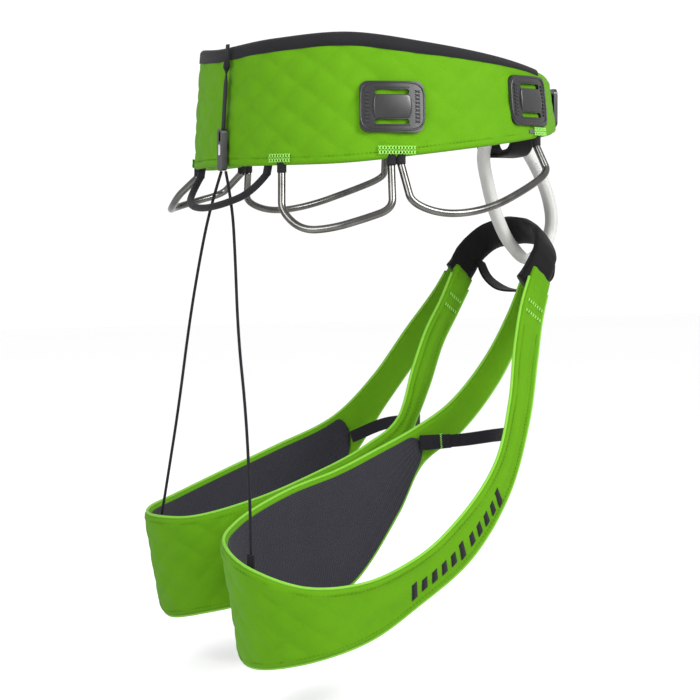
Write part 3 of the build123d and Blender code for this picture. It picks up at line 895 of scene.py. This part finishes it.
def mirrored_rails(half, middle):
    """Rails from the wearer's right to the left, from one half and the middle pair."""
    right = [(-x, *h, -x, *l) for x, h, l in half]
    left = [(x, *h, x, *l) for x, h, l in reversed(half)]
    return np.array(right + [middle] + left, float) * MM


def make_yoke():
    rails = mirrored_rails(YOKE_ARCH, (0, -131, -92, 0, -144, -112.5))
    # Both cut edges stop a little above the full length of the arms, the left one higher.
    rails[0] = rails[0] * 0.75 + rails[1] * 0.25
    rails[-1] = rails[-1] * 0.15 + rails[-2] * 0.85
    count = 150
    centre, across, normal, half = band_lines(rails, count, 1)
    place = np.linspace(-1, 1, count)
    # The sleeve is flat and open at the arms, where it wraps both straps, and rolled thick over the top.
    thick = 0.0125 - 0.0045 * np.clip((1 - np.abs(place)) / 0.35, 0, 1)
    wide = half * 2 + 0.001 + 0.002 * np.clip((np.abs(place) - 0.7) / 0.3, 0, 1)
    turn = np.linspace(0, 2 * math.pi, 40, endpoint=False)
    shape = np.zeros((count, 40, 2))
    for i in range(count):
        square = 2.6 + 0.9 * abs(place[i])
        w = np.sign(np.cos(turn)) * np.abs(np.cos(turn)) ** (2 / square) * wide[i] / 2
        n = np.sign(np.sin(turn)) * np.abs(np.sin(turn)) ** (2 / square) * thick[i] / 2
        for k in range(40):
            p = centre[i] + across[i] * w[k] + normal[i] * n[k]
            crease = wrinkle(p, 60, 2.2) * 0.0009 + wrinkle((p[0] * 0.3, p[1], p[2]), 190, 8.1) * 0.00035
            scale = 1 + crease / (thick[i] / 2)
            w[k] *= 1 + crease / (wide[i] / 2)
            n[k] *= scale
        shape[i, :, 0], shape[i, :, 1] = w, n
    sleeve = skin("tie_in_sleeve", centre, across, normal, shape, M["sleeve"])
    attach(sleeve, "waistbelt")
    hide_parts("yoke_sleeve")
    edge = []
    for share in (0.98, -0.98):
        points = centre + across * (wide / 2 * share)[:, None]
        edge.append(rod("edge", points[6:-6], 0.0016, M["sleeve"], hint=(0, 1, 0.3), sides=8))
    seam = joined("tie_in_sleeve_seams", edge)
    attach(seam, "waistbelt")
    rails = mirrored_rails(BRIDGE, (0, -128, -153, 0, -142, -153))
    centre, across, normal, half = band_lines(rails, 90, 1)
    bridge = skin("tie_in_bridge_band", centre, across, normal, pad_shape(half, 0.0018), M["sleeve"])
    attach(bridge, "waistbelt")
    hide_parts("yoke_bridge")


# ---------------------------------------------------------------- leg loops
LEG_RIMS = {
    "right": (
        ((46, -100, -168), (45, -113, -186)), ((30, -86, -208), (30, -98, -228)),
        ((17, -58, -246), (17, -70, -268)), ((12, -28, -265), (12, -38, -292)),
        ((14, 8, -280), (12, -15, -332)), ((17, 45, -294), (15, 28, -385)),
        ((25, 92, -306), (22, 80, -404)), ((50, 148, -324), (45, 132, -414)),
        ((88, 176, -335), (88, 160, -424)), ((130, 176, -347), (126, 158, -422)),
        ((156, 148, -359), (152, 134, -414)), ((163, 100, -359), (160, 92, -401)),
        ((162, 55, -344), (160, 52, -379)), ((155, 15, -319), (156, 6, -350)),
        ((141, -26, -281), (144, -36, -305)), ((118, -54, -236), (123, -68, -252)),
        ((92, -76, -190), (97, -93, -203)), ((75, -93, -160), (78, -110, -174)),
    ),
    "left": (
        ((42, -88, -160), (43, -104, -172)), ((27, -64, -186), (28, -80, -198)),
        ((17, -46, -216), (18, -62, -230)), ((12, -30, -255), (12, -44, -262)),
        ((13, 0, -278), (12, -15, -318)), ((14, 50, -300), (13, 35, -372)),
        ((20, 100, -318), (18, 90, -396)), ((40, 145, -331), (40, 132, -408)),
        ((80, 162, -333), (80, 146, -416)), ((118, 148, -332), (116, 136, -410)),
        ((146, 112, -326), (144, 104, -392)), ((160, 60, -310), (158, 54, -368)),
        ((163, 10, -292), (162, 2, -345)), ((157, -45, -268), (158, -56, -312)),
        ((135, -74, -231), (139, -90, -254)), ((107, -92, -188), (110, -109, -208)),
        ((82, -106, -153), (86, -121, -174)),
    ),
}
LINED = {"right": (-0.036, -0.200), "left": (-0.060, -0.248)}
LAP_X, LAP = 60, 4.5
LAP_TOP, LAP_LOW = (-110, -131), (-126, -147)
LEG_THICK = 0.0054
LEG_COUNT = 360
ELASTIC_PATHS = {
    "right": ((17, -33, -275), (38, -58, -272), (70, -72, -266), (100, -62, -263), (125, -44, -266)),
    "left": ((17, -38, -258), (42, -66, -262), (80, -82, -266), (118, -74, -272), (146, -58, -285)),
}


def leg_lines(side):
    """Centre, across, normal and half width of a leg band."""
    sign = SIDES[side]
    rows = [(sign * t[0], t[1], t[2], sign * b[0], b[1], b[2]) for t, b in LEG_RIMS[side]]
    inner, outer = sign * (LAP_X - LAP), sign * (LAP_X + LAP)
    rows = [(inner, *LAP_TOP, inner, *LAP_LOW), *rows, (outer, *LAP_TOP, outer, *LAP_LOW)]
    return band_lines(np.array(rows, float) * MM, LEG_COUNT, -sign)


def on_leg(piece, side, slot, *nodes):
    """Bake a piece's placement into its mesh and hide the CAD nodes it stands for."""
    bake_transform(piece)
    if nodes:
        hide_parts(*nodes)
    return piece


def make_leg(side):
    sign = SIDES[side]
    lines = leg_lines(side)
    centre, across, normal, half = lines
    at = np.concatenate(([0], np.cumsum(np.linalg.norm(np.diff(centre, axis=0), axis=1))))

    def relief(index, face):
        wide = np.clip((half[index] - 0.016) / 0.02, 0, 1)
        w = face * half[index]
        height = 0.0017 * wide * (quilt(at[index], w * 1.1, 0.030) - 0.5)
        seam = 0.0004 * (1 - wide) * np.cos(face * math.pi * 1.5)
        soft = np.array([
            wrinkle(centre[index] + across[index] * x, 30, 3.3 + sign) * 0.0007
            + wrinkle(centre[index] + across[index] * x, 90, 6.1) * 0.00025 for x in w
        ])
        return height + seam + soft

    band = skin(f"leg_{side}_fabric", centre, across, normal,
                pad_shape(half - 0.0004, LEG_THICK, relief, across_count=36), M["green"])
    on_leg(band, side, "green_fabric", f"leg_shell_{side}", f"leg_core_{side}")
    # Piping: a thin light cord along both rims.
    rims = []
    for share in (1, -1):
        points = centre + across * ((half + 0.0002) * share)[:, None]
        rims.append(rod("piping", points[4:-4], 0.0024, M["piping"], hint=(0.2, 1, 0.3), sides=8))
    piping = joined(f"leg_{side}_piping", rims)
    on_leg(piping, side, "green_fabric")
    # Liner: dark mesh inside the wide part, ending in a rounded tongue at each end.
    front, ceiling = LINED[side]
    lined = [i for i in range(LEG_COUNT) if centre[i][1] > front and centre[i][2] < ceiling]
    first, last = lined[0], lined[-1] + 1
    reach = half[first:last] - 0.0030
    ends = np.minimum(np.arange(last - first), np.arange(last - first)[::-1]) * (at[-1] / LEG_COUNT)
    taper = np.sqrt(np.clip(1 - (1 - np.clip(ends / 0.012, 0, 1)) ** 2, 0.04, 1))
    spacer = lambda index, face: 0.0002 * np.cos(face * 24)
    shape = pad_shape(reach * taper, 0.0016, spacer, across_count=30, edge_count=4)
    liner = skin(f"leg_{side}_mesh_liner", (centre - normal * (LEG_THICK / 2 + 0.0005))[first:last],
                 across[first:last], -normal[first:last], shape, M["liner"])
    on_leg(liner, side, "mesh_liner", f"leg_liner_{side}")
    # Seams along both rims of the fabric, and the two rows of bar tacks on each strap.
    seams = []
    for share in (1, -1):
        inset = (half - 0.0045) * share
        points = centre + across * inset[:, None] + normal * (LEG_THICK / 2)
        seams.append(stitches("seam", points[22:-22], normal[22:-22], M["green_strap"], pitch=0.0032, lift=0.0001))
    seam = joined(f"leg_{side}_seams", seams)
    on_leg(seam, side, "green_fabric")
    tacks = []
    for spot in (0.030, 0.041, at[-1] - 0.030, at[-1] - 0.041):
        i = int(np.argmin(np.abs(at - spot)))
        width = half[i] * 0.75
        lifted = centre[i] + normal[i] * (LEG_THICK / 2 + 0.0004)
        line = np.array([lifted + across[i] * x for x in np.linspace(-width, width, 8)])
        outs = np.broadcast_to(normal[i], line.shape)
        for slant in (1.2, -1.2):
            tacks.append(stitches("tack", line, outs, M["thread_green"], pitch=0.0024, length=0.0034, radius=0.00034,
                                  lift=0.0003, slant=slant))
    tack = joined(f"leg_{side}_strap_tacks", tacks)
    on_leg(tack, side, "tack_thread")
    if side == "right":
        make_print(lines, at, relief)
    make_elastic(side)
    return lines


def make_print(lines, at, relief):
    """A plain row of slanted bars printed along the strap on the outer side of the right leg loop."""
    centre, across, normal, half = lines
    # It runs from the broad back part up the outer strap.
    bars = []
    start = at[-1] * 0.655
    for bar in range(11):
        first = int(np.argmin(np.abs(at - (start + bar * 0.0105))))
        rows = range(first, first + 3)
        points, outs, sides, halves = [], [], [], []
        for row in rows:
            slide = -0.22 + 0.02 * (row - first)
            spot = centre[row] + across[row] * half[row] * slide
            out = LEG_THICK / 2 + relief(row, np.array([slide]))[0] + 0.0002
            points.append(spot + normal[row] * out)
            outs.append(normal[row])
            sides.append(across[row])
            halves.append(0.0042 if bar % 5 else 0.0058)
        bars.append(skin("bar", np.array(points), np.array(sides), np.array(outs),
                         pad_shape(np.array(halves), 0.0005, None, across_count=8, edge_count=3), M["webbing"]))
    print_row = joined("leg_right_print", bars)
    on_leg(print_row, "right", "black_webbing")


def make_elastic(side):
    """The elastic strap across the front of a leg loop, with its sewn end tab."""
    sign = SIDES[side]
    line = smooth([(sign * x * MM, y * MM, z * MM) for x, y, z in ELASTIC_PATHS[side]], 70)
    up = np.array((0, 0, 1.0))
    tangent, across, normal = frames(line, up)
    ribs = lambda index, face: 0.00014 * np.cos(face * math.pi * 6)
    strap = skin(f"leg_{side}_elastic", line, across, normal,
                 pad_shape(np.full(70, 0.0052), 0.0014, ribs, across_count=26, edge_count=4), M["elastic"])
    on_leg(strap, side, "elastic", f"leg_elastic_{side}")
    tab_line = line[:14]
    tab = skin(f"leg_{side}_elastic_tab", tab_line, across[:14], normal[:14],
               pad_shape(np.linspace(0.0064, 0.0057, 14), 0.0026, None, across_count=14, edge_count=4), M["elastic"])
    on_leg(tab, side, "elastic", f"elastic_tab_{side}")
    pieces = []
    for face in (-1, 1):
        spot = line[9]
        run = np.array([spot + across[9] * x + normal[9] * face * 0.0014 for x in np.linspace(-0.006, 0.006, 8)])
        outs = np.broadcast_to(normal[9] * face, run.shape)
        pieces.append(stitches("zigzag", run, outs, M["thread_green"], pitch=0.0018, length=0.0026,
                               radius=0.0003, slant=0.7))
    thread = joined(f"leg_{side}_tab_stitching", pieces)
    on_leg(thread, side, "tack_thread")


# ---------------------------------------------------------------- rear riser
CORDS = {
    "right": [(-25, 144.5, -57.5), (-33, 143, -83), (-43, 145.5, -117), (-66, 154, -182),
              (-91, 160, -234), (-106, 164, -290), (-114, 167, -340)],
    "left": [(-17, 144.5, -57.5), (1, 145, -83), (17, 146, -118), (36, 147.5, -172),
             (56, 148.5, -243), (74, 149.5, -296), (88, 150, -335)],
}
CORD = 0.0023
RISER_X = -0.021


def make_risers():
    for side, sign in SIDES.items():
        line = nurbs_line([np.array(p) * MM for p in CORDS[side]], 14)
        cord = rod(f"riser_cord_{side}_elastic", line, CORD, M["elastic"], hint=(0, 1, 0), sides=12)
        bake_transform(cord)
        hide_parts(f"riser_cord_{side}")
        # The cord's sewn end on the inside of the leg loop.
        end = line[-1]
        down = np.array([end + np.array((0, 0, step)) for step in (0.001, -0.004, -0.0125)])
        tab = skin(f"riser_anchor_{side}_tab", smooth(down, 14), np.broadcast_to((1.0, 0, 0), (14, 3)),
                   np.broadcast_to((0, 1.0, 0), (14, 3)), pad_shape(np.full(14, 0.0048), 0.0030), M["webbing"])
        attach(tab, f"leg_loop_{side}")
        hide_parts(f"riser_anchor_{side}")
    # The strap is sewn to the belt's top edge and twists once on its way down to the clip.
    count = 60
    heights = np.linspace(0.0395, -0.026, count)
    line = np.array([(RISER_X, 0.1405 + 0.0042 * (0.0395 - z) / 0.0655, z) for z in heights])
    twist = np.clip((np.linspace(0, 1, count) - 0.1) / 0.35, 0, 1) * math.pi
    across = np.stack([np.cos(twist), np.sin(twist) * 0.35, np.zeros(count)], axis=-1)
    across = unit(across)
    normal = np.cross(along_of(line), across)
    strap = skin("riser_strap_webbing", line, across, normal, pad_shape(np.full(count, 0.0027), 0.0013), M["webbing"])
    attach(strap, "waistbelt")
    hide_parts("riser_strap")
    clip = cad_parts["riser_clip"]
    clip.data.materials.clear()
    clip.data.materials.append(M["plastic"])
    edge = clip.modifiers.new("soft_edges", "BEVEL")
    edge.width = 0.0011
    edge.segments = 3
    edge.limit_method = "ANGLE"
    # A light grey bar on the clip's face: a painted glint where the black clip catches the light.
    glint_bar = skin("riser_clip_painted_glint", np.array([(RISER_X, 0.1480, z) for z in np.linspace(-0.037, -0.045, 10)]),
                 np.broadcast_to((1.0, 0, 0), (10, 3)), np.broadcast_to((0, 1.0, 0), (10, 3)),
                 pad_shape(np.full(10, 0.0016), 0.0008), M["painted_highlight"])
    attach(glint_bar, "waistbelt")


make_camera()
make_studio()
make_risers()
make_belt()
make_tacks()
make_plates()
make_gear_loops()
make_haul_loop()
make_front()
make_tie_in()
make_belay_loop()
make_yoke()
for side in SIDES:
    make_leg(side)
